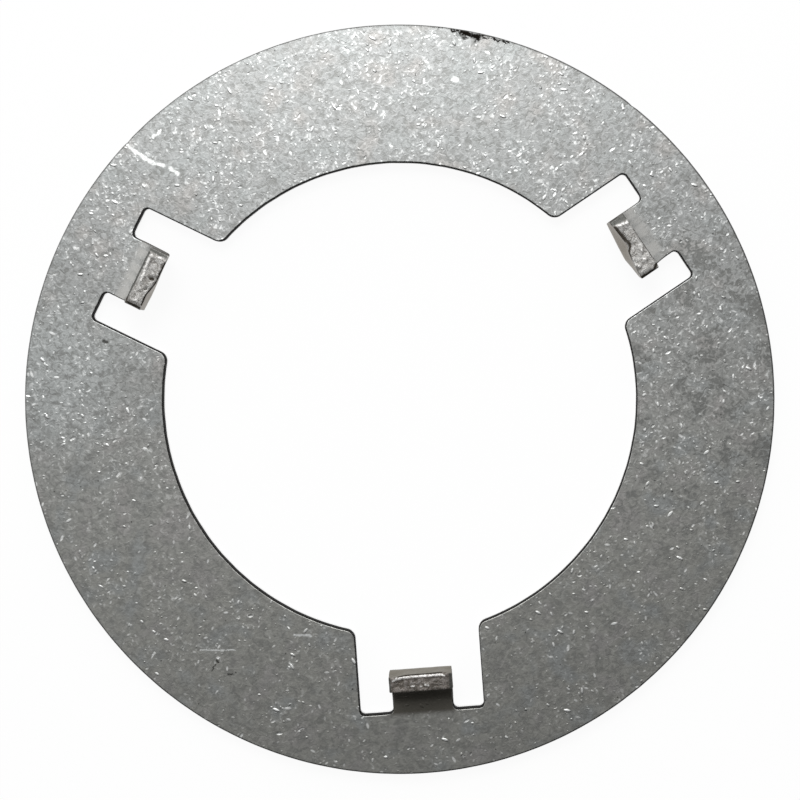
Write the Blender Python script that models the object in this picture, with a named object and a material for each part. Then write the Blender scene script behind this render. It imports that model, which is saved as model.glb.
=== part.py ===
"""Thrust washer: a stamped steel ring with three tabs folded up out of its bore.

The ring is modelled in the order in which it is made: the blank is cut out flat, its
edges are rolled by the punch, and then each tab is folded up square to the ring.
Lengths are in metres and +Z is up. The axis of the ring is Z, and the lower thrust
face lies at z = 0.
"""

import math

import bmesh
import bpy
from mathutils import Matrix, Vector

# The ring
BORE_DIAMETER = 0.0642
RING_WIDTH = 0.0187  # from the bore to the outer edge, along a radius
SHEET_THICKNESS = 0.0025

# The notches, spaced evenly around the bore, each with a tab between two reliefs
NOTCH_COUNT = 3
FIRST_NOTCH_ANGLE = -90.0  # degrees, from +X
NOTCH_DEPTH = 0.0103  # from the bore circle to the notch's flat outer wall
RELIEF_WIDTH = 0.00415  # open space on each side of a tab
MOUTH_RADIUS = 0.0010  # rounding where the notch's sides meet the bore
RELIEF_RADIUS = 0.0006  # rounding in the notch's outer corners
ROOT_RADIUS = 0.0007  # fillets where a tab leaves the outer wall

# The tabs
TAB_WIDTH = 0.0085
TAB_HEIGHT = 0.0059  # above the upper thrust face
ROOT_FLAT = 0.0013  # flat stretch between the outer wall and the fold
BEND_RADIUS = 0.0025  # on the inside of the fold
TAB_CORNER_RADIUS = 0.0005
NEUTRAL_DEPTH = 0.4  # share of the thickness, from the fold's inside, that keeps its length

# The edges: the punch rolls the upper ones over, and tumbling breaks the lower ones
EDGE_ROLL = 0.00025
EDGE_BREAK = 0.0001

# Facets
SEGMENTS_PER_TURN = 120
FILLET_SEGMENTS = 5
BEND_SEGMENTS = 10
ROLL_SEGMENTS = 3
BREAK_SEGMENTS = 1
MERGE_DISTANCE = 0.000001

# Finish
STEEL_COLOUR = (0.33, 0.33, 0.32, 1.0)
STEEL_ROUGHNESS = 0.45
SMOOTH_ANGLE = 35.0  # degrees

bore_radius = BORE_DIAMETER / 2
outer_radius = bore_radius + RING_WIDTH
wall_distance = bore_radius + NOTCH_DEPTH
half_tab = TAB_WIDTH / 2
half_notch = half_tab + RELIEF_WIDTH
half_pitch = math.pi / NOTCH_COUNT

# The fold starts at the fold line and turns about an axis above the sheet
fold_line = wall_distance - ROOT_FLAT
fold_height = SHEET_THICKNESS + BEND_RADIUS
fold_length = math.pi / 2 * (BEND_RADIUS + NEUTRAL_DEPTH * SHEET_THICKNESS)
straight_length = TAB_HEIGHT - BEND_RADIUS


def clear_scene():
    for thing in list(bpy.data.objects):
        bpy.data.objects.remove(thing, do_unlink=True)


def arc(centre, radius, start, end, segments):
    """Points along an arc between two angles, both ends included."""
    angles = [start + (end - start) * step / segments for step in range(segments + 1)]
    return [
        (centre[0] + radius * math.cos(angle), centre[1] + radius * math.sin(angle))
        for angle in angles
    ]


def round_arc(radius, start, end):
    """An arc about the ring's axis, with facets of the size that the whole turn has."""
    segments = max(1, round(abs(end - start) * SEGMENTS_PER_TURN / math.tau))
    return arc((0, 0), radius, start, end, segments)


def inner_edge():
    """Half of a sector's inner edge, from midway between two notches to the fold line."""
    # The mouth's rounding touches both the bore circle and the side of the notch
    mouth_y = half_notch + MOUTH_RADIUS
    mouth_x = math.sqrt((bore_radius + MOUTH_RADIUS) ** 2 - mouth_y**2)
    mouth_angle = math.atan2(mouth_y, mouth_x)
    bore = round_arc(bore_radius, half_pitch, mouth_angle)
    mouth = arc(
        (mouth_x, mouth_y),
        MOUTH_RADIUS,
        math.pi + mouth_angle,
        math.pi * 3 / 2,
        FILLET_SEGMENTS,
    )
    relief = arc(
        (wall_distance - RELIEF_RADIUS, half_notch - RELIEF_RADIUS),
        RELIEF_RADIUS,
        math.pi / 2,
        0,
        FILLET_SEGMENTS,
    )
    root = arc(
        (wall_distance - ROOT_RADIUS, half_tab + ROOT_RADIUS),
        ROOT_RADIUS,
        0,
        -math.pi / 2,
        FILLET_SEGMENTS,
    )
    return bore + mouth[1:] + relief + root + [(fold_line, half_tab)]


def sector_outline():
    """The flat ring from one notch's far side to the next, with its notch towards +X."""
    outer = round_arc(outer_radius, -half_pitch, half_pitch)
    inner = inner_edge()
    mirrored = [(x, -y) for x, y in reversed(inner)]
    return outer + inner + mirrored


def tab_lines():
    """Lines across the flat tab, as distance from the axis and half width."""
    bend = [
        (fold_line - fold_length * step / BEND_SEGMENTS, half_tab)
        for step in range(BEND_SEGMENTS + 1)
    ]
    tip = fold_line - fold_length - straight_length
    corner = arc(
        (tip + TAB_CORNER_RADIUS, half_tab - TAB_CORNER_RADIUS),
        TAB_CORNER_RADIUS,
        math.pi / 2,
        math.pi,
        FILLET_SEGMENTS,
    )
    return bend + corner


def notch_turn(index):
    """The rotation that takes a notch drawn towards +X to its place."""
    angle = math.radians(FIRST_NOTCH_ANGLE) + index * 2 * half_pitch
    return Matrix.Rotation(angle, 4, "Z")


def cut_blank(bm):
    """The flat blank: for each notch a sector of the ring, and its tab as a strip."""
    for index in range(NOTCH_COUNT):
        turn = notch_turn(index)
        bm.faces.new([bm.verts.new(turn @ Vector((x, y, 0))) for x, y in sector_outline()])
        lines = [
            [bm.verts.new(turn @ Vector((x, side * half_width, 0))) for side in (1, -1)]
            for x, half_width in tab_lines()
        ]
        for (left, right), (next_left, next_right) in zip(lines, lines[1:]):
            bm.faces.new((left, next_left, next_right, right))
    bmesh.ops.remove_doubles(bm, verts=bm.verts[:], dist=MERGE_DISTANCE)


def thicken(bm):
    """Gives the blank the thickness of the sheet."""
    raised = bmesh.ops.extrude_face_region(bm, geom=bm.faces[:])["geom"]
    verts = [item for item in raised if isinstance(item, bmesh.types.BMVert)]
    bmesh.ops.translate(bm, verts=verts, vec=(0, 0, SHEET_THICKNESS))
    bmesh.ops.recalc_face_normals(bm, faces=bm.faces[:])


def round_edges(bm, height, size, segments):
    """Rounds every edge where the flat face at one height meets the cut wall."""
    edges = [
        edge
        for edge in bm.edges
        if all(abs(vert.co.z - height) < MERGE_DISTANCE for vert in edge.verts)
        and any(abs(face.normal.z) < 0.5 for face in edge.link_faces)
    ]
    bmesh.ops.bevel(
        bm,
        geom=edges,
        offset=size,
        offset_type="OFFSET",
        affect="EDGES",
        segments=segments,
        profile=0.5,
        material=-1,
        clamp_overlap=True,
    )


def fold_point(point):
    """Where a point of a flat tab that reaches towards +X lies once it is folded up."""
    travel = fold_line - point.x
    turn = min(travel / fold_length, 1) * math.pi / 2
    beyond = max(travel - fold_length, 0)
    reach = fold_height - point.z
    return Vector(
        (
            fold_line - reach * math.sin(turn),
            point.y,
            fold_height - reach * math.cos(turn) + beyond,
        )
    )


def fold_tabs(bm):
    """Folds up all that lies between a notch's two reliefs, short of the fold line."""
    for index in range(NOTCH_COUNT):
        turn = notch_turn(index)
        back = turn.inverted()
        for vert in bm.verts:
            local = back @ vert.co
            if 0 < local.x < fold_line and abs(local.y) < half_tab + RELIEF_WIDTH / 2:
                vert.co = turn @ fold_point(local)


def steel():
    material = bpy.data.materials.new("steel")
    material.use_nodes = True
    shader = material.node_tree.nodes["Principled BSDF"]
    shader.inputs["Base Color"].default_value = STEEL_COLOUR
    shader.inputs["Metallic"].default_value = 1.0
    shader.inputs["Roughness"].default_value = STEEL_ROUGHNESS
    return material


def thrust_washer():
    bm = bmesh.new()
    cut_blank(bm)
    thicken(bm)
    round_edges(bm, SHEET_THICKNESS, EDGE_ROLL, ROLL_SEGMENTS)
    round_edges(bm, 0, EDGE_BREAK, BREAK_SEGMENTS)
    fold_tabs(bm)
    bmesh.ops.recalc_face_normals(bm, faces=bm.faces[:])
    mesh = bpy.data.meshes.new("thrust_washer")
    bm.to_mesh(mesh)
    bm.free()
    mesh.shade_smooth()
    mesh.set_sharp_from_angle(angle=math.radians(SMOOTH_ANGLE))
    mesh.materials.append(steel())
    washer = bpy.data.objects.new("thrust_washer", mesh)
    bpy.context.collection.objects.link(washer)
    return washer


clear_scene()
thrust_washer()
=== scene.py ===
import math

import bmesh
import bpy
from mathutils import Matrix, Vector, noise


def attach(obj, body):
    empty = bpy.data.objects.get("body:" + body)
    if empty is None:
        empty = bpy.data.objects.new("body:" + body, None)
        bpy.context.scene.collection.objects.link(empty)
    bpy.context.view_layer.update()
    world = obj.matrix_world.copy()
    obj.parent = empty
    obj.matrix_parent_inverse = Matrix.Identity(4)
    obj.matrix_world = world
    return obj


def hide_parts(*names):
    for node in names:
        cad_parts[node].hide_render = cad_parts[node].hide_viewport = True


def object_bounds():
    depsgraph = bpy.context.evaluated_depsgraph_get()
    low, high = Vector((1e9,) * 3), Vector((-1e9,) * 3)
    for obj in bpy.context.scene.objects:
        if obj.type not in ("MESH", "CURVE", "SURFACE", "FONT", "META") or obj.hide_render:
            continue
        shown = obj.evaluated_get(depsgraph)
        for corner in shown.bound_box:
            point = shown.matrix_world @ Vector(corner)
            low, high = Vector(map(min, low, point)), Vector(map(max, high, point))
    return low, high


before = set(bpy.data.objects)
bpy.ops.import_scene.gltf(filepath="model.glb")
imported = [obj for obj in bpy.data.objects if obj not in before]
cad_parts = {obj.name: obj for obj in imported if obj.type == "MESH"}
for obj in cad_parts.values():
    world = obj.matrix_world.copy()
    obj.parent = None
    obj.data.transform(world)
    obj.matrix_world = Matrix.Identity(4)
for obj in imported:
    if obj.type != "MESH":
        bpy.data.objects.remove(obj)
cadLow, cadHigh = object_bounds()
print("frame loaded")

mm = 0.001
touching = 0.001 * mm  # points nearer than this are one

# The washer. Its outer radius and the height of its tabs come from the frame.
washer = {
    "bore": 32.1 * mm,
    "sheet": 2.5 * mm,
    "notchWall": 42.4 * mm,  # from the axis to the flat wall of a notch
    "tabWidth": 8.5 * mm,
    "relief": 4.15 * mm,  # open space on each side of a tab
    "mouthRound": 1.0 * mm,
    "reliefRound": 0.65 * mm,
    "rootRound": 0.7 * mm,
    "rootFlat": 1.3 * mm,  # flat stretch between the notch's wall and the fold
    "bendRadius": 2.5 * mm,
    "neutralDepth": 0.4,
    "edgeRoll": 0.24 * mm,  # clamping to the tabs' fine grid leaves 0.208 mm of it
    "rollSteps": 4,
    "edgeBreak": 0.1 * mm,
    "breakSteps": 2,
    "cornerSteps": 6,
    "arcStep": 0.5,  # degrees
    "mouthClear": 3,  # degrees between a notch's mouth and where the bore's arc starts
    "tabColumns": 40,
    "tabLayers": 12,
    "bendRows": 20,
    "straightRows": 12,
    "edgeCut": 0.8 * mm,  # the straight cut edges are divided about this finely
    "edgeWaver": 0.03 * mm,
    "edgeWaverSize": 1.8 * mm,
    "rimNicks": ((132.4, 0.08 * mm), (47.5, 0.09 * mm)),  # degrees and depth
    "nickReach": 0.5 * mm,
}

rim = cadHigh.x
top = cadHigh.z
halfTab = washer["tabWidth"] / 2
halfNotch = halfTab + washer["relief"]
foldLine = washer["notchWall"] - washer["rootFlat"]
foldHeight = washer["sheet"] + washer["bendRadius"]
foldLength = math.pi / 2 * (washer["bendRadius"] + washer["neutralDepth"] * washer["sheet"])
straightLength = top - foldHeight
tip = foldLine - foldLength - straightLength  # the end of a tab while it is flat

# Each tab was cut and folded a little differently. In a tab's own directions x runs
# outwards and y anticlockwise. These are millimetres off its true shape: its two sides at
# the root and at the end, and, as (y, shift) pairs, how far its waist and the inner edge
# of its end lie further out.
tabs = [
    {"at": -90, "seed": 3.1, "cornerRound": (0.3, 0.3), "rootSides": (0.37, 0.03),
     "endSides": (0.33, 0.3), "waist": ((-4, 0.0), (4, 0.0)), "outerEdge": 0.0,
     "innerEdge": ((-4, 0.45), (-3, 0.35), (-2, 0.2), (3, 0.15), (4, 0.4))},
    {"at": 30, "seed": 11.7, "cornerRound": (0.35, 1.1), "rootSides": (0.05, -0.26),
     "endSides": (-0.47, -0.25), "outerEdge": 0.15,
     "waist": ((-4.2, -0.1), (-2.4, -0.29), (-1.2, -0.47), (0.8, -0.26), (4, 0.2)),
     "innerEdge": ((-4.2, -0.15), (-3, -0.1), (-1.8, 0.08), (-0.5, 0.32), (0.4, 0.75),
                   (3, 0.55), (4, 0.5))},
    {"at": 150, "seed": 23.9, "cornerRound": (0.85, 0.35), "rootSides": (0.15, 0.0),
     "endSides": (0.05, -0.2), "outerEdge": -0.1,
     "waist": ((-4, 0.2), (-2, 0.15), (0, 0.0), (2, -0.08), (4, 0.0)),
     "innerEdge": ((-4, -0.35), (0, -0.35), (1, -0.15), (2, 0.1), (4, 0.05))},
]

# Marks on the tabs' sheared ends: from, to and half width, in millimetres of that tab's
# own directions. Burrs stand up and carry a painted highlight; cracks and facets lie lower
# and are painted dark, the facets as shade and the cracks partly as shade along the edges.
tabMarks = [
    {
        "burrAndGlint": [((36.95, -3.35), (36.66, -2.8), 0.17), ((36.66, -2.8), (36.57, -1.2), 0.2),
                 ((36.57, -1.2), (36.57, 2.9), 0.19), ((36.57, 2.9), (36.76, 3.5), 0.16),
                 ((37.8, -1.0), (37.85, -0.6), 0.14), ((37.95, 0.3), (37.95, 0.45), 0.12),
                 ((37.75, 0.9), (37.85, 1.3), 0.16)],
        "crackAndShade": [((38.62, -3.6), (38.6, 4.2), 0.08), ((36.4, -2.6), (36.33, 3.1), 0.15)],
        "shadedFacet": [((36.0, 4.35), (38.4, 4.3), 0.25), ((36.2, -3.85), (38.5, -3.8), 0.16)],
    },
    {
        "burrAndGlint": [((37.06, 3.0), (37.55, 2.85), 0.2), ((37.85, 2.85), (38.0, 2.75), 0.13),
                 ((38.42, 2.62), (38.5, 2.55), 0.24),
                 ((36.3, -2.75), (36.6, -3.2), 0.2), ((37.0, -0.4), (37.05, -0.3), 0.15),
                 ((38.0, -1.45), (38.05, -1.6), 0.17), ((37.6, -2.6), (37.9, -2.9), 0.13)],
        "crackAndShade": [((36.75, 2.8), (37.0, 1.2), 0.38), ((37.0, 1.2), (36.95, -0.2), 0.4),
                  ((36.95, -0.2), (36.45, -0.8), 0.22), ((36.45, -0.8), (36.0, -2.3), 0.14),
                  ((36.0, -2.3), (35.85, -4.5), 0.13), ((36.0, -4.6), (38.0, -4.62), 0.26),
                  ((38.1, -4.55), (38.8, -4.1), 0.22), ((38.74, -3.4), (38.74, 1.3), 0.1)],
        "shadedFacet": [((36.8, 3.6), (38.5, 3.4), 0.5), ((36.6, 3.95), (38.6, 4.0), 0.35)],
    },
    {
        "burrAndGlint": [((37.75, -3.2), (37.95, -3.1), 0.2), ((36.65, -3.4), (36.8, -3.35), 0.18),
                 ((38.0, -2.7), (37.85, -1.4), 0.18), ((37.82, -1.0), (37.7, 0.4), 0.17),
                 ((37.0, 2.9), (37.3, 3.1), 0.12)],
        "crackAndShade": [((36.4, -0.4), (36.7, -0.3), 0.27), ((36.5, 1.15), (36.7, 1.3), 0.14),
                  ((35.82, -3.0), (35.77, 0.0), 0.14),
                  ((35.77, 0.0), (36.0, 1.1), 0.14), ((36.0, 1.1), (36.25, 3.3), 0.16),
                  ((36.4, 3.85), (38.2, 3.85), 0.26), ((38.2, 3.8), (38.5, 3.2), 0.17)],
        "shadedFacet": [((36.2, -3.95), (38.4, -3.95), 0.42), ((38.38, -3.4), (38.42, 3.5), 0.2)],
    },
]

tabEnd = {
    "sink": 0.12 * mm,  # how far the sheared end may lie under its highest points
    "burrHeight": 0.05 * mm,
    "crackDepth": 0.1 * mm,
    "facetDrop": 0.2 * mm,
    "cap": 0.3 * mm,  # how far the sheared finish reaches down from the end
    "grain": 0.7 * mm,
    "dent": 0.03 * mm,  # unevenness of the tab's sides
    "dentSize": 1.4 * mm,
    "dentFade": 2 * mm,  # from the fold line to where the dents have their full depth
    "endReach": 0.7 * mm,  # how far down the marks on the end move the sides
    "apart": 20,  # millimetres between the tabs in the places that the finish follows
}


def polar(radius, degrees):
    angle = math.radians(degrees)
    return Vector((radius * math.cos(angle), radius * math.sin(angle), 0))


def smoothShare(share):
    share = max(0, min(share, 1))
    return share * share * (3 - 2 * share)


def verts(items):
    return [item for item in items if isinstance(item, bmesh.types.BMVert)]


def faces(items):
    return [item for item in items if isinstance(item, bmesh.types.BMFace)]


def swingArc(bm, radius, start, end):
    # one point swung round the axis leaves an arc of edges behind it
    first = bm.verts.new(polar(radius, start))
    steps = max(1, round(abs(end - start) / washer["arcStep"]))
    swung = bmesh.ops.spin(bm, geom=[first], cent=(0, 0, 0), axis=(0, 0, 1),
                           angle=math.radians(end - start), steps=steps)
    return first, verts(swung["geom_last"])[0]


def roundCorners(bm, corners, radius):
    bmesh.ops.bevel(bm, geom=corners, offset=radius, offset_type="OFFSET", affect="VERTICES",
                    segments=washer["cornerSteps"], profile=0.5, material=-1)


def cutSector(bm):
    # a third of the ring, with its notch towards +X
    half = 180 / len(tabs)
    mouth = math.degrees(math.asin(halfNotch / washer["bore"]))
    clear = mouth + washer["mouthClear"]
    rimStart, rimEnd = swingArc(bm, rim, -half, half)
    upperStart, upperEnd = swingArc(bm, washer["bore"], half, clear)
    lowerStart, lowerEnd = swingArc(bm, washer["bore"], -clear, -half)
    mouthUp = bm.verts.new(polar(washer["bore"], mouth))
    mouthDown = bm.verts.new(polar(washer["bore"], -mouth))
    wall = washer["notchWall"]
    reliefUp = bm.verts.new((wall, halfNotch, 0))
    rootUp = bm.verts.new((wall, halfTab, 0))
    foldUp = bm.verts.new((foldLine, halfTab, 0))
    foldDown = bm.verts.new((foldLine, -halfTab, 0))
    rootDown = bm.verts.new((wall, -halfTab, 0))
    reliefDown = bm.verts.new((wall, -halfNotch, 0))
    chain = [rimEnd, upperStart, None, upperEnd, mouthUp, reliefUp, rootUp, foldUp,
             foldDown, rootDown, reliefDown, mouthDown, lowerStart, None, lowerEnd, rimStart]
    for start, end in zip(chain, chain[1:]):
        if start and end:
            bm.edges.new((start, end))
    bmesh.ops.contextual_create(bm, geom=bm.edges[:])
    roundCorners(bm, [mouthUp, mouthDown], washer["mouthRound"])
    roundCorners(bm, [reliefUp, reliefDown], washer["reliefRound"])
    roundCorners(bm, [rootUp, rootDown], washer["rootRound"])
    longEdges = [edge for edge in bm.edges if edge.calc_length() > 1.5 * washer["edgeCut"]
                 and abs(edge.verts[0].co.y) > halfTab * 1.01
                 and max(vert.co.x for vert in edge.verts) > washer["bore"] * 0.9
                 and abs(edge.verts[0].co.y) < halfNotch * 1.1]
    for edge in longEdges:
        cuts = round(edge.calc_length() / washer["edgeCut"])
        bmesh.ops.subdivide_edges(bm, edges=[edge], cuts=cuts)


def cutBlank(bm):
    cutSector(bm)
    count = len(tabs)
    bmesh.ops.rotate(bm, verts=bm.verts[:], cent=(0, 0, 0),
                     matrix=Matrix.Rotation(math.radians(tabs[0]["at"]), 3, "Z"))
    bmesh.ops.spin(bm, geom=bm.verts[:] + bm.edges[:] + bm.faces[:], cent=(0, 0, 0),
                   axis=(0, 0, 1), angle=math.tau * (count - 1) / count, steps=count - 1,
                   use_duplicate=True)
    bmesh.ops.remove_doubles(bm, verts=bm.verts[:], dist=touching)
    waverEdges(bm)
    raised = bmesh.ops.extrude_face_region(bm, geom=bm.faces[:])["geom"]
    bmesh.ops.translate(bm, verts=verts(raised), vec=(0, 0, washer["sheet"]))
    bmesh.ops.recalc_face_normals(bm, faces=bm.faces[:])


def waverEdges(bm):
    # no cut edge is quite true: the rim wavers inwards, so that it keeps the outer diameter
    for vert in bm.verts:
        inTab = any((vert.co - polar(foldLine, tab["at"])).length < halfTab * 1.05 for tab in tabs)
        if inTab:
            continue
        waver = noise.noise(vert.co / washer["edgeWaverSize"])
        radius = vert.co.length
        outwards = vert.co / radius
        if radius > rim * 0.99:
            vert.co -= outwards * (waver * 0.5 + 0.5) * washer["edgeWaver"]
            for degrees, depth in washer["rimNicks"]:
                away = (vert.co - polar(rim, degrees)).length
                vert.co -= outwards * depth * smoothShare(1.3 - away / washer["nickReach"])
        else:
            vert.co += outwards * waver * washer["edgeWaver"]


def growTab(bm, tab):
    # the flat tab grows row by row from the wall at the fold line, cut into a fine grid
    outwards = polar(1, tab["at"])
    middle = outwards * foldLine + Vector((0, 0, washer["sheet"] / 2))
    root = min(bm.faces, key=lambda face: (face.calc_center_median() - middle).length)
    level = [edge for edge in root.edges
             if abs(edge.verts[0].co.z - edge.verts[1].co.z) < 0.1 * mm]
    bmesh.ops.subdivide_edges(bm, edges=level, cuts=washer["tabColumns"] - 1, use_grid_fill=True)

    def inRoot(vert):
        flat = Vector((vert.co.x, vert.co.y, 0))
        side = flat - outwards * flat.dot(outwards)
        return abs(flat.dot(outwards) - foldLine) < 0.01 * mm and side.length < halfTab * 1.01

    upright = [edge for edge in bm.edges
               if all(inRoot(vert) for vert in edge.verts)
               and abs(edge.verts[0].co.z - edge.verts[1].co.z) > 0.5 * washer["sheet"]]
    bmesh.ops.subdivide_edges(bm, edges=upright, cuts=washer["tabLayers"] - 1, use_grid_fill=True)
    front = [face for face in bm.faces if all(inRoot(vert) for vert in face.verts)]
    lengths = ([foldLength / washer["bendRows"]] * washer["bendRows"]
               + [straightLength / washer["straightRows"]] * washer["straightRows"])
    for length in lengths:
        grown = bmesh.ops.extrude_face_region(bm, geom=front)["geom"]
        bmesh.ops.delete(bm, geom=front, context="FACES")  # or they stay inside the tab
        bmesh.ops.translate(bm, verts=verts(grown), vec=outwards * -length)
        front = faces(grown)


def roundEdges(bm, height, size, segments):
    cutEdges = [edge for edge in bm.edges
                if all(abs(vert.co.z - height) < touching for vert in edge.verts)
                and any(abs(face.normal.z) < 0.5 for face in edge.link_faces)]
    bmesh.ops.bevel(bm, geom=cutEdges, offset=size, offset_type="OFFSET", affect="EDGES",
                    segments=segments, profile=0.5, material=-1, clamp_overlap=True)


def findTab(point):
    # the number of the tab at which a point of the flat blank lies, and its place there
    for number, tab in enumerate(tabs):
        flat = Matrix.Rotation(-math.radians(tab["at"]), 3, "Z") @ point
        if 0 < flat.x < rim and abs(flat.y) < halfTab + washer["relief"] / 2:
            return number, flat
    return None, None


def notePlaces(bm):
    # what the finish follows round the folds, all noted while the blank is flat: the place
    # on it, how much a point belongs to a cut wall or to a tab, and the place on a tab as y,
    # depth in the sheet and distance from the notch's wall. The tabs' ends get the second
    # finish.
    bm.normal_update()
    place = bm.verts.layers.float_vector.new("flatPlace")
    onTab = bm.verts.layers.float_vector.new("tabPlace")
    cut = bm.verts.layers.float.new("cutWall")
    folded = bm.verts.layers.float.new("foldedShare")
    for vert in bm.verts:
        vert[place] = vert.co / mm
        sheetShare = sum(face.calc_area() for face in vert.link_faces if abs(face.normal.z) > 0.9)
        wholeShare = sum(face.calc_area() for face in vert.link_faces)
        vert[cut] = 1 - sheetShare / wholeShare
        number, flat = findTab(vert.co)
        if flat:
            vert[onTab] = (flat.y / mm + tabEnd["apart"] * (number + 1), flat.z / mm,
                           (washer["notchWall"] - flat.x) / mm)
            vert[folded] = float(abs(flat.y) < halfTab * 1.02 and flat.x < foldLine - 0.1 * mm)
    for face in bm.faces:
        number, flat = findTab(face.calc_center_median())
        if flat and flat.x < tip + tabEnd["cap"]:
            face.material_index = 1


def roundTip(point, tab):
    # draws the square corners of the flat tab's end in to round ones
    high = point.y > 0
    radius = tab["cornerRound"][high] * mm
    across = abs(point.y) - (halfTab - radius)
    along = tip + radius - point.x
    if across <= 0 or along <= 0:
        return point
    shrink = max(across, along) / math.hypot(across, along)
    side = 1 if high else -1
    return Vector((tip + radius - along * shrink, side * (halfTab - radius + across * shrink),
                   point.z))


def foldPoint(point):
    travel = foldLine - point.x
    turn = max(0, min(travel / foldLength, 1)) * math.pi / 2
    beyond = max(travel - foldLength, 0)
    reach = foldHeight - point.z
    return Vector((foldLine - reach * math.sin(turn), point.y,
                   foldHeight - reach * math.cos(turn) + beyond))


def between(pairs, place):
    # the value at a place in a list of (place, value) pairs, straight from one to the next
    for (start, low), (end, high) in zip(pairs, pairs[1:]):
        if place <= end:
            return low + (high - low) * max(0, (place - start) / (end - start))
    return pairs[-1][1]


def sideShift(sides, y):
    across = max(0, min(y / (2 * halfTab) + 0.5, 1))
    return sides[0] + (sides[1] - sides[0]) * across


def tabShift(flat, tab):
    # how far a point of the folded tab lies off its true place
    travel = foldLine - flat.x
    toWaist = smoothShare(travel / foldLength)
    toTip = smoothShare(travel / (foldLength + straightLength))
    toEnd = smoothShare((travel - 0.8 * foldLength) / (straightLength + 0.2 * foldLength))
    waist = between(tab["waist"], flat.y / mm)
    inner = between(tab["innerEdge"], flat.y / mm)
    end = inner + (tab["outerEdge"] - inner) * flat.z / washer["sheet"]
    rootSide = sideShift(tab["rootSides"], flat.y)
    endSide = sideShift(tab["endSides"], flat.y)
    return Vector((waist * toWaist + (end - waist) * toEnd,
                   rootSide + (endSide - rootSide) * toTip, 0)) * mm


def nearStrokes(place, strokes):
    # how much a place in millimetres belongs to some strokes
    share = 0
    for start, end, width in strokes:
        run = Vector(end) - Vector(start)
        offset = place - Vector(start)
        travel = max(0, min(offset.dot(run) / run.length_squared, 1))
        share = max(share, smoothShare(1.6 - (offset - run * travel).length / width))
    return share


def foldTab(bm, tab, marks):
    turn = Matrix.Rotation(math.radians(tab["at"]), 3, "Z")
    back = turn.inverted()
    for vert in bm.verts:
        flat = back @ vert.co
        nearRoot = 0 < flat.x < washer["notchWall"] + 0.01 * mm
        if not nearRoot or abs(flat.y) > halfTab + washer["relief"] / 2:
            continue
        if flat.x >= foldLine:
            vert.co = turn @ (flat + tabShift(flat, tab))
            continue
        rounded = roundTip(flat, tab)
        dent = noise.noise_vector(flat / tabEnd["dentSize"] + Vector((tab["seed"], 0, 0)))
        shaped = foldPoint(rounded) + tabShift(rounded, tab)
        shaped += dent * tabEnd["dent"] * smoothShare((foldLine - flat.x) / tabEnd["dentFade"])
        ending = smoothShare((tip + tabEnd["endReach"] - flat.x) / tabEnd["endReach"])
        if ending > 0:
            seen = Vector((shaped.x, shaped.y)) / mm
            burrAndGlint = nearStrokes(seen, marks["burrAndGlint"])
            grain = noise.noise(flat / tabEnd["grain"] + Vector((0, tab["seed"], 0))) * 0.5 + 0.5
            shaped.z -= ending * ((1 - burrAndGlint) * (grain * tabEnd["sink"] + tabEnd["burrHeight"])
                                  + nearStrokes(seen, marks["crackAndShade"]) * tabEnd["crackDepth"]
                                  + nearStrokes(seen, marks["shadedFacet"]) * tabEnd["facetDrop"])
        shaped.z = min(shaped.z, top)
        vert.co = turn @ shaped


def makeWasher():
    bm = bmesh.new()
    cutBlank(bm)
    for tab in tabs:
        growTab(bm, tab)
    bm.normal_update()
    roundEdges(bm, washer["sheet"], washer["edgeRoll"], washer["rollSteps"])
    roundEdges(bm, 0, washer["edgeBreak"], washer["breakSteps"])
    # the roll reaches the grid's next line on the tabs, where its points meet
    bmesh.ops.remove_doubles(bm, verts=bm.verts[:], dist=touching)
    notePlaces(bm)
    for tab, marks in zip(tabs, tabMarks):
        foldTab(bm, tab, marks)
    bmesh.ops.recalc_face_normals(bm, faces=bm.faces[:])
    mesh = bpy.data.meshes.new("washer")
    bm.to_mesh(mesh)
    bm.free()
    mesh.shade_smooth()
    made = bpy.data.objects.new("washer", mesh)
    bpy.context.collection.objects.link(made)
    even = made.modifiers.new("evenShading", "WEIGHTED_NORMAL")
    even.mode = "FACE_AREA"
    even.weight = 50
    print("washer made:", len(mesh.polygons), "faces")
    return made


class Value:
    # a socket of a finish; sums written with it become Math nodes
    def __init__(self, finish, socket):
        self.finish = finish
        self.socket = socket

    def other(self, name):
        return Value(self.finish, self.socket.node.outputs[name])

    def math(self, operation, *others):
        return self.finish.add("ShaderNodeMath", {"operation": operation},
                               dict(enumerate((self,) + others)))

    def __add__(self, other):
        return self.math("ADD", other)

    def __radd__(self, other):
        return self.math("ADD", other)

    def __sub__(self, other):
        return self.math("SUBTRACT", other)

    def __rsub__(self, other):
        return self.finish.add("ShaderNodeMath", {"operation": "SUBTRACT"}, {0: other, 1: self})

    def __mul__(self, other):
        return self.math("MULTIPLY", other)

    def __rmul__(self, other):
        return self.math("MULTIPLY", other)

    def __truediv__(self, other):
        return self.math("DIVIDE", other)

    def __gt__(self, other):
        return self.math("GREATER_THAN", other)

    def __lt__(self, other):
        return self.math("LESS_THAN", other)


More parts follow.
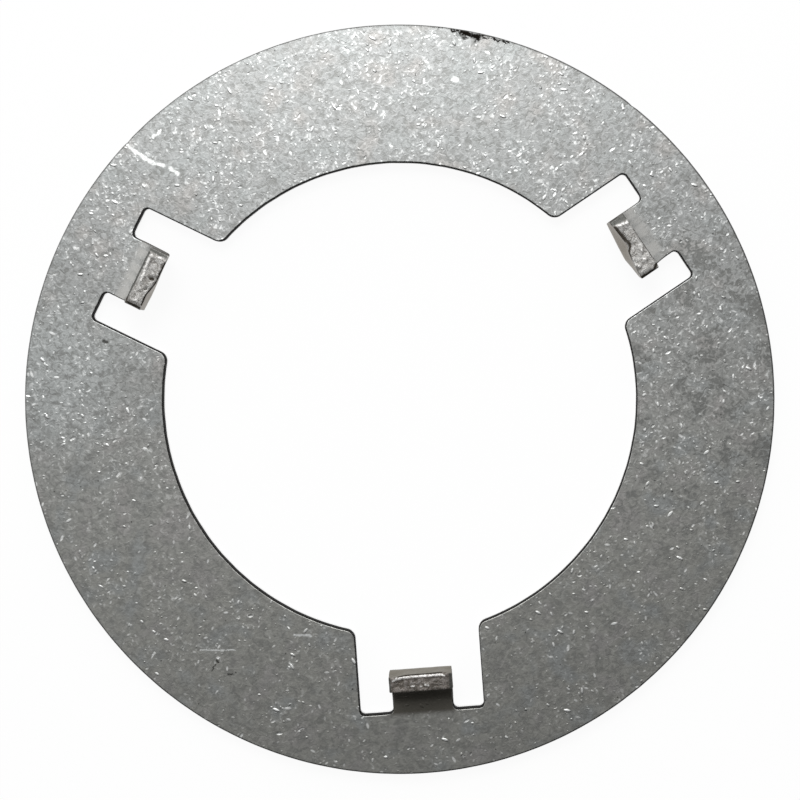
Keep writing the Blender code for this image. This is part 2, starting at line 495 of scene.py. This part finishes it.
class Finish:
    # a material or a world, and what makes its nodes
    def __init__(self, owner):
        owner.use_nodes = True
        self.tree = owner.node_tree
        self.tree.nodes.clear()

    def add(self, kind, settings=None, sockets=None, output=0):
        node = self.tree.nodes.new(kind)
        for name, value in (settings or {}).items():
            setattr(node, name, value)
        for name, value in (sockets or {}).items():
            if isinstance(value, Value):
                self.tree.links.new(value.socket, node.inputs[name])
            else:
                node.inputs[name].default_value = value
        return Value(self, node.outputs[output]) if node.outputs else node

    def attribute(self, name, output):
        return self.add("ShaderNodeAttribute", {"attribute_name": name}, None, output)

    def vector(self, operation, *others):
        return self.add("ShaderNodeVectorMath", {"operation": operation}, dict(enumerate(others)))

    def scaled(self, vector, factor):
        return self.add("ShaderNodeVectorMath", {"operation": "SCALE"},
                        {0: vector, "Scale": factor})

    def dot(self, one, two):
        return self.vector("DOT_PRODUCT", one, two).other("Value")

    def length(self, vector):
        return self.vector("LENGTH", vector).other("Value")

    def parts(self, vector):
        split = self.add("ShaderNodeSeparateXYZ", None, {0: vector})
        return split, split.other("Y"), split.other("Z")

    def ramp(self, value, low, high, start=0.0, end=1.0):
        return self.add("ShaderNodeMapRange", {"interpolation_type": "SMOOTHSTEP"},
                        {0: value, 1: low, 2: high, 3: start, 4: end})

    def mix(self, factor, one, two):
        return self.add("ShaderNodeMix", {"data_type": "RGBA"}, {0: factor, 6: one, 7: two}, 2)

    def noise(self, place, size, detail=2.0, roughness=0.5, distortion=0.0):
        return self.add("ShaderNodeTexNoise", None,
                        {"Vector": place, "Scale": 1 / size, "Detail": detail,
                         "Roughness": roughness, "Distortion": distortion})

    def strokes(self, place, strokes):
        # the strongest of some soft-edged strokes, each (from, to, half width)
        mask = None
        for start, end, width in strokes:
            run = Vector(end) - Vector(start)
            offset = self.vector("SUBTRACT", place, Vector(start))
            travel = self.add("ShaderNodeClamp", None,
                              {0: self.dot(offset, run / run.length), 1: 0.0, 2: run.length})
            away = self.vector("SUBTRACT", offset, self.scaled(run / run.length, travel))
            stroke = self.ramp(self.length(away), width * 1.2, width * 0.4)
            mask = stroke if mask is None else mask.math("MAXIMUM", stroke)
        return mask

    def metal(self, colour, metallic, roughness, height):
        normal = self.add("ShaderNodeBump", None,
                          {"Strength": 1.0, "Distance": mm, "Height": height})
        surface = self.add("ShaderNodeBsdfPrincipled", None,
                           {"Base Color": colour, "Metallic": metallic,
                            "Roughness": roughness, "Normal": normal})
        self.add("ShaderNodeOutputMaterial", None, {"Surface": surface})


# Sizes in millimetres. A fleck is a small dent or lip that tumbling left, and one side of
# it catches the light; its colour is also lightened as a painted glint.
steelLook = {
    "grey": (0.345, 0.353, 0.349, 1),
    "olive": (0.352, 0.353, 0.331, 1),
    "dark": (0.215, 0.218, 0.21, 1),
    "bare": (0.86, 0.87, 0.86, 1),
    "teal": (0.343, 0.356, 0.352, 1),
    "pale": (0.415, 0.432, 0.427, 1),
    "brown": (0.358, 0.352, 0.341, 1),
    "scratch": (0.72, 0.735, 0.725, 1),
    "pit": (0.05, 0.048, 0.045, 1),
    "stain": (0.012, 0.01, 0.008, 1),
    # the cut walls' colours: dark as painted shade, and pale at the foot as painted light from the
    # floor
    "wall": (0.012, 0.011, 0.01, 1),
    "litWallFoot": (0.9, 0.9, 0.89, 1),
    "shadedTabWall": (0.15, 0.145, 0.135, 1),
    "rim": (0.2, 0.2, 0.195, 1),
    "litRimFoot": (0.5, 0.5, 0.49, 1),
    "strip": (0.235, 0.207, 0.17, 1),
    "darkStrip": (0.13, 0.108, 0.07, 1),
    # the colour of the painted shadow at the first tab
    "paintedShadowColour": (0.09, 0.084, 0.07, 1),
    # rubbed streaks and painted sheen on the tabs' bends
    "rubbedAndLit": (0.42, 0.417, 0.4, 1),
    "roughness": 0.42,
    "patchSize": 4.0,
    "blotchSize": 1.3,
    "grainSize": 0.6,
    "grainHeight": 0.02,
    "cloudsAt": (44, 3, 2.5),
    "cloudsReach": (30, 8),
    "paleAt": (-47, 7, 2.5),
    "paleReach": (15, 3),
    "oliveFrom": (25, -30),  # the metal turns olive down the ring, and its wear and grain marks, with a painted sheen, grow stronger up it
    "wearAndSheenFrom": (-30, 20),
    # the radii of the painted shade line along the rim
    "rimShadeBand": (50.56, 50.7),
    "rimWall": 46.0,  # cut walls further out than this are the rim's
    "footFrom": (1.05, 0.75),  # the cut walls' smooth foot, in painted light from the floor, starts at this height
    "ragged": 0.5,  # how far the grain moves the edges of marks and of stains
    "veryRagged": 1.6,
    "streakSize": 0.8,
    "streakPull": (1, 1, 0.15),  # the rubbed streaks and the painted sheen among them run down the tab
    "flecks": [
        {"cell": 0.75, "length": 0.3, "width": 0.17, "share": 0.34, "height": 0.018,
         "paintedGlint": 0.5, "offset": 0.0},
        {"cell": 1.5, "length": 0.42, "width": 0.2, "share": 0.38, "height": 0.036,
         "paintedGlint": 0.9, "offset": 17.3},
        {"cell": 2.8, "length": 0.62, "width": 0.24, "share": 0.34, "height": 0.06,
         "paintedGlint": 1.0, "offset": 41.9},
    ],
    "pits": {"cell": 3.1, "length": 0.18, "width": 0.14, "share": 0.14, "height": 0.0,
             "paintedGlint": 1.0, "offset": 77.0},
}

# Marks on the ring's upper face at places of their own, in millimetres
ringMarks = {
    "scratched": [
        ((-34.3, 37.0), (-33.4, 36.2), 0.22), ((-33.4, 36.2), (-32.3, 35.2), 0.3),
        ((-32.3, 35.2), (-31.0, 34.35), 0.33), ((-31.0, 34.35), (-29.5, 33.85), 0.26),
        ((-28.8, 33.5), (-27.8, 32.65), 0.28), ((-30.7, 37.9), (-30.5, 38.0), 0.32),
        ((-30.1, 38.3), (-29.9, 38.5), 0.28), ((10.5, 42.7), (10.7, 42.65), 0.46),
        ((-29.4, -31.9), (-24.7, -32.3), 0.12), ((-16.5, -30.8), (-14.3, -31.1), 0.19),
    ],
    "stained": [
        ((9.0, 50.0), (10.8, 49.5), 0.22), ((10.7, 49.35), (12.0, 48.95), 0.42),
        ((12.0, 48.85), (14.1, 48.15), 0.6), ((14.5, 48.45), (18.3, 47.1), 0.28),
    ],
    "pitted": [
        ((-39.4, 10.7), (-39.1, 10.6), 0.3), ((43.9, 19.3), (43.95, 19.35), 0.14),
        ((43.9, -1.2), (44.05, -1.25), 0.15), ((-27.3, -33.5), (-27.1, -33.7), 0.2),
        ((-27.5, -34.0), (-28.1, -34.9), 0.1), ((-25.9, -35.4), (-25.2, -35.5), 0.15),
    ],
}


def fleckLayer(steel, place, layer, wear):
    # one dash at most in each cell, turned at random; a few stand up as lips, and each gives a
    # painted glint
    moved = steel.vector("ADD", place, (layer["offset"], layer["offset"] * 0.7, 0))
    cells = steel.add("ShaderNodeTexVoronoi", {"voronoi_dimensions": "2D", "feature": "F1"},
                      {"Vector": moved, "Scale": 1 / layer["cell"], "Randomness": 1.0}, "Color")
    offX, offY, _ = steel.parts(steel.vector("SUBTRACT", moved, cells.other("Position")))
    turn, size, chance = steel.parts(cells)
    angle = turn * math.tau
    cosine = angle.math("COSINE")
    sine = angle.math("SINE")
    along = (offX * cosine + offY * sine) / (layer["length"] * (0.35 + 0.65 * size))
    across = (offY * cosine - offX * sine) / (layer["width"] * (0.7 + 0.3 * size))
    inside = steel.ramp(along * along + across * across, 1.0, 0.0)
    mask = inside * (chance < layer["share"] * wear)
    return mask, mask * (turn - 0.35) * (1.6 * layer["height"]), mask * size * layer["paintedGlint"]


def onTop(strokes):
    # strokes on the ring's upper face
    height = washer["sheet"] / mm
    return [((*start, height), (*end, height), width) for start, end, width in strokes]


def makeSteel():
    material = bpy.data.materials.new("steel")
    steel = Finish(material)
    look = steelLook
    place = steel.attribute("flatPlace", "Vector")
    cutWall = steel.attribute("cutWall", "Fac")
    onTab = steel.attribute("tabPlace", "Vector")
    tabSide, depth, distance = steel.parts(onTab)

    patches = steel.noise(place, look["patchSize"], 3.0, 0.55)
    tint = steel.noise(steel.vector("ADD", place, (50, 20, 0)), look["patchSize"], 1.0)
    blotches = steel.noise(steel.vector("ADD", place, (5, 90, 0)), look["blotchSize"],
                           3.0, 0.6, 0.8)
    grain = steel.noise(place, look["grainSize"], 2.0, 0.5, 0.9)
    offCentre = steel.vector("SUBTRACT", grain.other("Color"), (0.5, 0.5, 0.5))

    # the metal's own tint, and the soft blotches and grain that darken it
    placeX, placeY, placeZ = steel.parts(place)
    first, last = look["oliveFrom"]
    colour = steel.mix(steel.ramp(placeY, first, last), look["grey"], look["olive"])
    colour = steel.mix(steel.ramp(tint, 0.52, 0.72), colour, look["teal"])
    colour = steel.mix(steel.ramp(tint, 0.48, 0.28), colour, look["brown"])
    first, last = look["paleReach"]
    away = steel.length(steel.vector("SUBTRACT", place, look["paleAt"]))
    colour = steel.mix(steel.ramp(away, first, last), colour, look["pale"])
    # wear and grain marks grow stronger up the ring, towards the light: real wear with a painted
    # sheen
    first, last = look["wearAndSheenFrom"]
    wearAndSheen = steel.ramp(placeY, first, last, 0.35, 1.0)
    first, last = look["cloudsReach"]
    away = steel.length(steel.vector("SUBTRACT", place, look["cloudsAt"]))
    clouds = (steel.ramp(patches + 0.35 * (grain - 0.5), 0.5, 0.32)
              * steel.ramp(away, first, last, 0.15, 0.9))
    shade = (0.45 * steel.ramp(blotches, 0.58, 0.4) + clouds
             + 0.6 * wearAndSheen * (steel.ramp(grain, 0.56, 0.42) - 0.5) - 0.05)
    colour = steel.mix(shade.math("MAXIMUM", 0.0), colour, look["dark"])

    # dents and lips that tumbling left, lightened as painted glints, and a few pits
    wear = 0.3 + steel.ramp(patches, 0.4, 0.62) * 1.3
    worn = steel.ramp(grain, 0.54, 0.7) * steel.ramp(blotches, 0.4, 0.6) * wear
    colour = steel.mix(worn * wearAndSheen * 0.5, colour, look["bare"])
    height = (grain - 0.5) * look["grainHeight"]
    paintedGlints = None
    for layer in look["flecks"]:
        mask, raised, paintedGlint = fleckLayer(steel, place, layer, wear)
        height = height + raised
        paintedGlints = paintedGlint if paintedGlints is None else paintedGlints.math("MAXIMUM", paintedGlint)
    colour = steel.mix(paintedGlints, colour, look["bare"])
    pit, _, _ = fleckLayer(steel, place, look["pits"], 1.0)
    colour = steel.mix(pit * 0.8, colour, look["pit"])

    # the marks at places of their own, their edges roughened by the grain
    ragged = steel.vector("ADD", place, steel.scaled(offCentre, look["ragged"]))
    scratched = steel.strokes(ragged, onTop(ringMarks["scratched"]))
    colour = steel.mix(scratched, colour, look["scratch"])
    veryRagged = steel.vector("ADD", place, steel.scaled(offCentre, look["veryRagged"]))
    stained = steel.strokes(veryRagged, onTop(ringMarks["stained"]))
    colour = steel.mix(stained, colour, look["stain"])
    pitted = steel.strokes(ragged, onTop(ringMarks["pitted"]))
    colour = steel.mix(pitted * 0.9, colour, look["pit"])

    # the tabs: browner inside near their ends; rubbed streaks with a painted sheen on the
    # bends of the second and third, and a painted shadow at the first one's bend and root
    apart = tabEnd["apart"]
    onFirst = placeY < -20.0
    dull = onFirst.math("MAXIMUM", steel.ramp(tabSide, apart * 3 + 1, apart * 3 - 1.5)
                        * (tabSide > apart * 2.5))
    strip = steel.mix(dull, look["strip"], look["darkStrip"])
    inside = steel.ramp(distance, 5.0, 6.5) * steel.ramp(depth, 1.2, 0.6)
    colour = steel.mix(inside * 0.85, colour, strip)
    upper = steel.ramp(depth, 1.2, 1.8)
    streaks = steel.noise(steel.vector("MULTIPLY", onTab, look["streakPull"]),
                          look["streakSize"], 3.0)
    # the second and third tabs' outer faces from the bend on: partly rubbed streaks, partly a
    # painted sheen, paler and less metallic
    rubbedAndLit = steel.ramp(distance, 0.9, 2.6) * upper * (1 - onFirst)
    rubbedAndLit = rubbedAndLit * steel.ramp(streaks, 0.36, 0.6, 0.45, 0.95)
    colour = steel.mix(rubbedAndLit, colour, look["rubbedAndLit"])
    # painted shadow of the first tab on its outer face and on the flat at its root, also less
    # metallic
    paintedShadow = (steel.ramp(placeY, -43.1, -42.2) * steel.ramp(placeX.math("ABSOLUTE"), 4.9, 4.2)
             * steel.ramp(placeZ, 1.2, 1.8) * onFirst)
    colour = steel.mix(paintedShadow, colour, look["paintedShadowColour"])

    # the rolled edges, the rim's painted shade line, and the cut walls, torn and in painted shade
    # above a smooth foot in painted light
    rolled = steel.ramp(cutWall, 0.02, 0.3) * steel.ramp(grain, 0.56, 0.44)
    colour = steel.mix(rolled * 0.7, colour, look["dark"])
    # a painted shade line along the rim's rolled edge, stronger towards +X
    first, last = look["rimShadeBand"]
    radius = steel.length(place)
    line = steel.ramp(radius, first, last) * steel.ramp(placeX, -30, 30, 0.35, 0.65)
    colour = steel.mix(line, colour, look["wall"])
    # the cut walls in painted shade above and in painted light from the floor at their foot
    onWall = steel.ramp(cutWall, 0.5, 0.9)
    offTab = 1 - steel.attribute("foldedShare", "Fac")
    first, last = look["footFrom"]
    foot = steel.ramp(placeZ, first, last) * offTab
    onRim = radius > look["rimWall"]
    shadedWallColour = steel.mix(offTab, look["shadedTabWall"], steel.mix(onRim, look["wall"], look["rim"]))
    litFootColour = steel.mix(onRim, look["litWallFoot"], look["litRimFoot"])
    colour = steel.mix(onWall, colour, steel.mix(foot, shadedWallColour, litFootColour))

    roughness = (look["roughness"] + 0.12 * (grain - 0.5) + onWall * (0.4 - foot * 0.55)
                 + stained * 0.3)
    steel.metal(colour, 1 - rubbedAndLit * 0.85 - paintedShadow * 0.5, roughness, height)
    return material


# Sizes in millimetres
shearedLook = {
    "grey": (0.42, 0.415, 0.4, 1),
    "dark": (0.23, 0.22, 0.205, 1),
    "firstGrey": (0.2, 0.18, 0.165, 1),
    "firstDark": (0.11, 0.097, 0.082, 1),
    # the painted highlight of the burrs, also the pale mottling of the ends
    "burrAndGlint": (0.75, 0.74, 0.72, 1),
    # the cracks' colour, partly painted shade along the ends' edges
    "crackAndShade": (0.03, 0.024, 0.017, 1),
    # the painted shade of the facets
    "shadedFacet": (0.075, 0.077, 0.07, 1),
    "metallic": 0.6,
    "roughness": 0.5,
    "blotchSize": 0.8,
    "blotchHeight": 0.12,
    "grainSize": 0.45,
    "grainHeight": 0.05,
}


def onTabEnds(kind):
    # strokes on the tabs' ends, carried back to where they lie on the flat blank
    sheet = washer["sheet"] / mm
    innerFace = (foldLine - foldHeight) / mm
    distance = (washer["notchWall"] - tip) / mm
    strokes = []
    for number, (tab, marks) in enumerate(zip(tabs, tabMarks)):
        for start, end, width in marks[kind]:
            flat = []
            for x, y in (start, end):
                inner = between(tab["innerEdge"], y)
                depth = (x - innerFace - inner) / (1 + (tab["outerEdge"] - inner) / sheet)
                side = y - sideShift(tab["endSides"], y * mm)
                flat.append((side + tabEnd["apart"] * (number + 1), depth, distance))
            strokes.append((flat[0], flat[1], width))
    return strokes


def makeShearedSteel():
    material = bpy.data.materials.new("shearedSteel")
    sheared = Finish(material)
    look = shearedLook
    onTab = sheared.attribute("tabPlace", "Vector")
    tabSide, _, _ = sheared.parts(onTab)
    flatTab = sheared.vector("MULTIPLY", onTab, (1, 1, 0))
    blotches = sheared.noise(flatTab, look["blotchSize"], 3.0, 0.6, 1.0)
    grain = sheared.noise(sheared.vector("ADD", flatTab, (7, 3, 0)), look["grainSize"],
                          2.0, 0.6, 0.8)

    onFirst = tabSide < tabEnd["apart"] * 1.5
    light = sheared.mix(onFirst, look["grey"], look["firstGrey"])
    dark = sheared.mix(onFirst, look["dark"], look["firstDark"])
    colour = sheared.mix(sheared.ramp(blotches, 0.6, 0.38), light, dark)
    mottled = sheared.ramp(grain, 0.5, 0.68) * (0.5 - onFirst * 0.35)
    colour = sheared.mix(mottled, colour, look["burrAndGlint"])

    jitter = sheared.vector("SUBTRACT", grain.other("Color"), (0.5, 0.5, 0.5))
    ragged = sheared.vector("ADD", sheared.vector("MULTIPLY", jitter, (0.3, 0.3, 0)), flatTab)
    flattened = {kind: [((x, y, 0), (u, v, 0), width)
                        for (x, y, _), (u, v, _), width in onTabEnds(kind)]
                 for kind in ("shadedFacet", "burrAndGlint", "crackAndShade")}
    # the facets, lowered in the geometry and painted dark as shade
    colour = sheared.mix(sheared.strokes(ragged, flattened["shadedFacet"]) * 0.9, colour, look["shadedFacet"])
    # the burrs' raised lips, with a painted highlight in beads along them
    beads = sheared.ramp(grain, 0.36, 0.5, 0.35, 1.0)
    burrAndGlint = sheared.strokes(ragged, flattened["burrAndGlint"]) * beads
    colour = sheared.mix(burrAndGlint, colour, look["burrAndGlint"])
    # the cracks, lowered in the geometry and painted dark: real cracks and pits, and painted shade
    # along the ends' edges
    colour = sheared.mix(sheared.strokes(ragged, flattened["crackAndShade"]), colour, look["crackAndShade"])

    height = (blotches - 0.5) * look["blotchHeight"] + (grain - 0.5) * look["grainHeight"]
    roughness = look["roughness"] + 0.2 * (grain - 0.5)
    sheared.metal(colour, look["metallic"], roughness, height)
    return material


piece = makeWasher()
piece.data.materials.append(makeSteel())
piece.data.materials.append(makeShearedSteel())
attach(piece, "root")
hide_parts("thrust_washer")
print("finishes made")

# Floor, sky and lamp
studio = {
    "floorSize": 10.0,
    "floorDrop": 0.02 * mm,
    "paper": (0.97, 0.97, 0.97, 1),
    "paperGlow": 0.94,  # how much of the floor is plain white to the camera; the rest takes shade
    "skyTowards": (-0.22, 1.0, 0.0),  # the room is brightest on this side
    "skyDark": 0.04,
    "skyBright": 1.2,
    "skyEdges": (-0.6, 0.8),
    "lampAt": (-0.02, 0.2, 0.35),
    "lampSize": 0.16,
    "lampPower": 0.76,
}


def makeFloor():
    bm = bmesh.new()
    bmesh.ops.create_grid(bm, x_segments=1, y_segments=1, size=studio["floorSize"] / 2)
    bmesh.ops.translate(bm, verts=bm.verts[:], vec=(0, 0, -studio["floorDrop"]))
    mesh = bpy.data.meshes.new("floor")
    bm.to_mesh(mesh)
    bm.free()
    floor = bpy.data.objects.new("floor", mesh)
    bpy.context.collection.objects.link(floor)
    material = bpy.data.materials.new("paper")
    paper = Finish(material)
    rays = paper.add("ShaderNodeLightPath", None, None, "Is Camera Ray")
    seen = rays.math("MAXIMUM", rays.other("Is Glossy Ray"))
    seen = seen.math("MAXIMUM", rays.other("Is Transmission Ray"))
    matt = paper.add("ShaderNodeBsdfDiffuse", None, {"Color": studio["paper"]})
    white = paper.add("ShaderNodeEmission", None, {"Color": (1, 1, 1, 1), "Strength": 1.0})
    surface = paper.add("ShaderNodeMixShader", None,
                        {0: seen * studio["paperGlow"], 1: matt, 2: white})
    paper.add("ShaderNodeOutputMaterial", None, {"Surface": surface})
    floor.data.materials.append(material)


def makeWorld():
    world = bpy.data.worlds.new("studio")
    sky = Finish(world)
    towards = sky.add("ShaderNodeTexCoord", None, None, "Generated")
    first, last = studio["skyEdges"]
    strength = sky.ramp(sky.dot(towards, studio["skyTowards"]), first, last,
                        studio["skyDark"], studio["skyBright"])
    glow = sky.add("ShaderNodeBackground", None, {"Color": (1, 1, 1, 1), "Strength": strength})
    sky.add("ShaderNodeOutputWorld", None, {"Surface": glow})
    bpy.context.scene.world = world


def makeLamp():
    lampData = bpy.data.lights.new("softbox", "AREA")
    lampData.size = studio["lampSize"]
    lampData.energy = studio["lampPower"]
    lamp = bpy.data.objects.new("softbox", lampData)
    lamp.location = studio["lampAt"]
    lamp.rotation_euler = (-Vector(studio["lampAt"])).to_track_quat("-Z", "Y").to_euler()
    bpy.context.collection.objects.link(lamp)


makeFloor()
makeWorld()
makeLamp()

# The photograph's view: straight down, the lens off to one side of the ring's middle
view = {
    "foot": (12.585 * mm, 12.667 * mm),
    "height": 287.0 * mm,  # above the upper thrust face
    "roll": -4.13,  # degrees
    "frameWidth": 108.34 * mm,  # on the upper thrust face
    "shift": (-0.1071, -0.1258),
    "sensor": 36,
}

cameraData = bpy.data.cameras.new("camera")
cameraData.sensor_width = view["sensor"]
cameraData.lens = view["sensor"] * view["height"] / view["frameWidth"]
cameraData.shift_x, cameraData.shift_y = view["shift"]
cameraData.clip_start = 0.01
camera = bpy.data.objects.new("camera", cameraData)
camera.location = (*view["foot"], view["height"] + washer["sheet"])
camera.rotation_euler = (0, 0, math.radians(view["roll"]))
bpy.context.collection.objects.link(camera)
bpy.context.scene.camera = camera
bpy.context.scene.view_settings.view_transform = "Standard"
print("camera, floor and light set")
